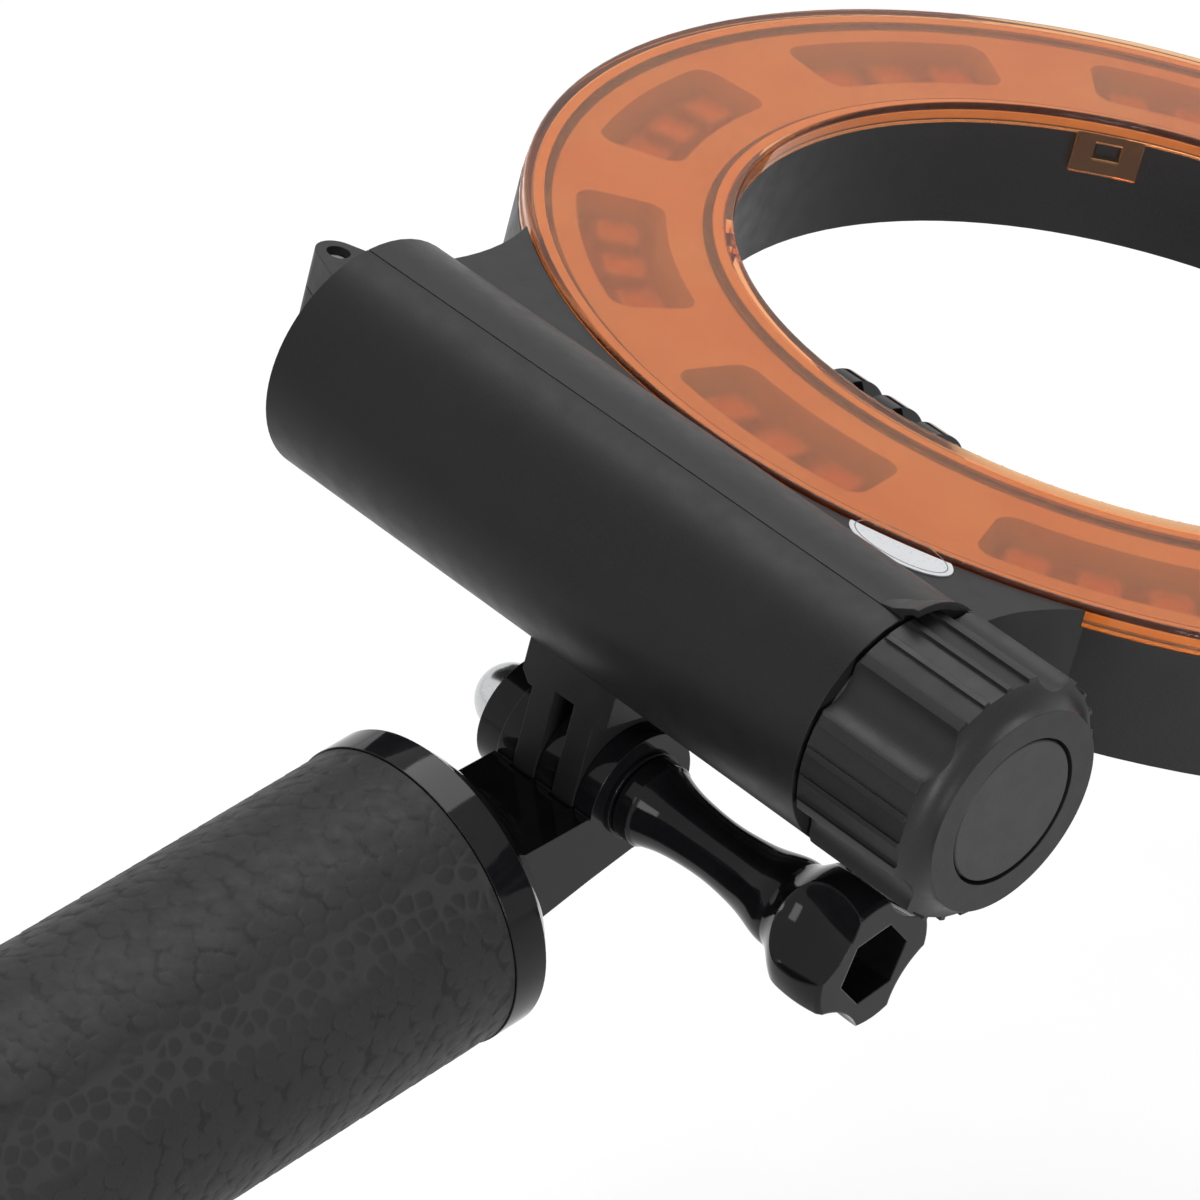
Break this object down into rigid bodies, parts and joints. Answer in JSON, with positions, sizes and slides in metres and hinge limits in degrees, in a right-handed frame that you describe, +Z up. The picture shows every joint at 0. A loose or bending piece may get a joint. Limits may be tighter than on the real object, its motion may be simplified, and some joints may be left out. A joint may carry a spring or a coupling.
{
  "type": "underwater ring light with hand grip",
  "caption": "Ring-shaped dive lamp with a tinted clip-on filter, a battery barrel with a fluted screw cap, and a folding textured hand grip locked by a thumb screw.",
  "frame": {"origin": "centre of the ring on the filter's lit face", "axes": "+X along the battery barrel towards its cap, +Y away from the grip, +Z up; the lamp leans on the ring's far rear edge and the grip's end, as in the picture"},
  "size_m": [0.1464, 0.3167, 0.0641],
  "materials": {
    "housing_black": "moulded, fine matt grain",
    "shell_black": "moulded, fine matt grain",
    "cap_black": "moulded, fine matt grain",
    "disc_black": "moulded, fine matt grain",
    "mount_black": "moulded, glossy",
    "knob_black": "moulded, glossy",
    "grip_rubber": "embossed with a scale pattern",
    "filter_orange": "clear tinted plastic",
    "lens_clear": "clear plastic",
    "mask_pale": "pale reflector plastic",
    "board_dark": "coated circuit board",
    "led_yellow": "lamp chips in silicone",
    "seal_grey": "soft seal",
    "steel": "stainless",
    "brass": "plated contact",
    "tube_metal": "drawn tube",
    "cell_wrap": "shrink wrap",
    "label_white": "blank label",
    "core_foam": "hollow tube",
    "lead_red": "insulated lead"
  },
  "bodies": {
    "head": {"front_housing": "housing_black", "rear_cover": "housing_black", "cover_seal": "seal_grey", "lens_ring": "lens_clear", "lens_seals": "seal_grey", "reflector_mask": "mask_pale", "led_board": "board_dark", "leds": "led_yellow", "driver_board": "board_dark", "driver_parts": "seal_grey", "board_leads": "lead_red", "battery_leads": "lead_red", "board_screws": "steel", "cover_screws": "steel", "barrel_shell": "shell_black", "lug_screw": "steel", "battery_tube": "tube_metal", "tube_spring": "steel", "tube_contact": "brass", "battery_cell": "cell_wrap", "neck_o_rings": "seal_grey", "camera_mount": "mount_black", "label": "label_white"},
    "filter": {"color_filter": "filter_orange"},
    "cap_core": {"cap_contact": "brass", "cap_spring": "steel"},
    "cap": {"cap_body": "cap_black", "cap_disc": "disc_black"},
    "handle": {"handle_adapter": "mount_black", "dome_nut": "steel", "handle_core": "core_foam", "grip_sleeve": "grip_rubber", "end_cap": "mount_black", "end_cap_seal": "seal_grey"},
    "thumb_carrier": {"thumb_washer": "steel"},
    "thumb_screw": {"thumb_knob": "knob_black", "thumb_bolt": "steel"}
  },
  "joints": [
    {"name": "grip_pivot", "type": "hinge", "parent": "head", "child": "handle", "pos_m": [0.00445, -0.09094, -0.01167], "axis": [1, 0, 0], "range_deg": [-30, 115]},
    {"name": "thumb_travel", "type": "slide", "parent": "handle", "child": "thumb_carrier", "axis": [1, 0, 0], "range_m": [0, 0.0024]},
    {"name": "thumb_turn", "type": "hinge", "parent": "thumb_carrier", "child": "thumb_screw", "pos_m": [0.00445, -0.09094, -0.01167], "axis": [1, 0, 0], "range_deg": [0, 1080]},
    {"name": "cap_travel", "type": "slide", "parent": "head", "child": "cap_core", "axis": [1, 0, 0], "range_m": [0, 0.008]},
    {"name": "cap_turn", "type": "hinge", "parent": "cap_core", "child": "cap", "pos_m": [0, -0.08434, 0.01291], "axis": [1, 0, 0], "range_deg": [0, 1440]},
    {"name": "filter_lift", "type": "slide", "parent": "head", "child": "filter", "axis": [0, 0.2592, 0.9658], "range_m": [0, 0.012]}
  ],
  "couplings": [
    {"joint": "thumb_travel", "follows": "thumb_turn", "m_per_rad": 0.00012732},
    {"joint": "cap_travel", "follows": "cap_turn", "m_per_rad": 0.00031831}
  ]
}
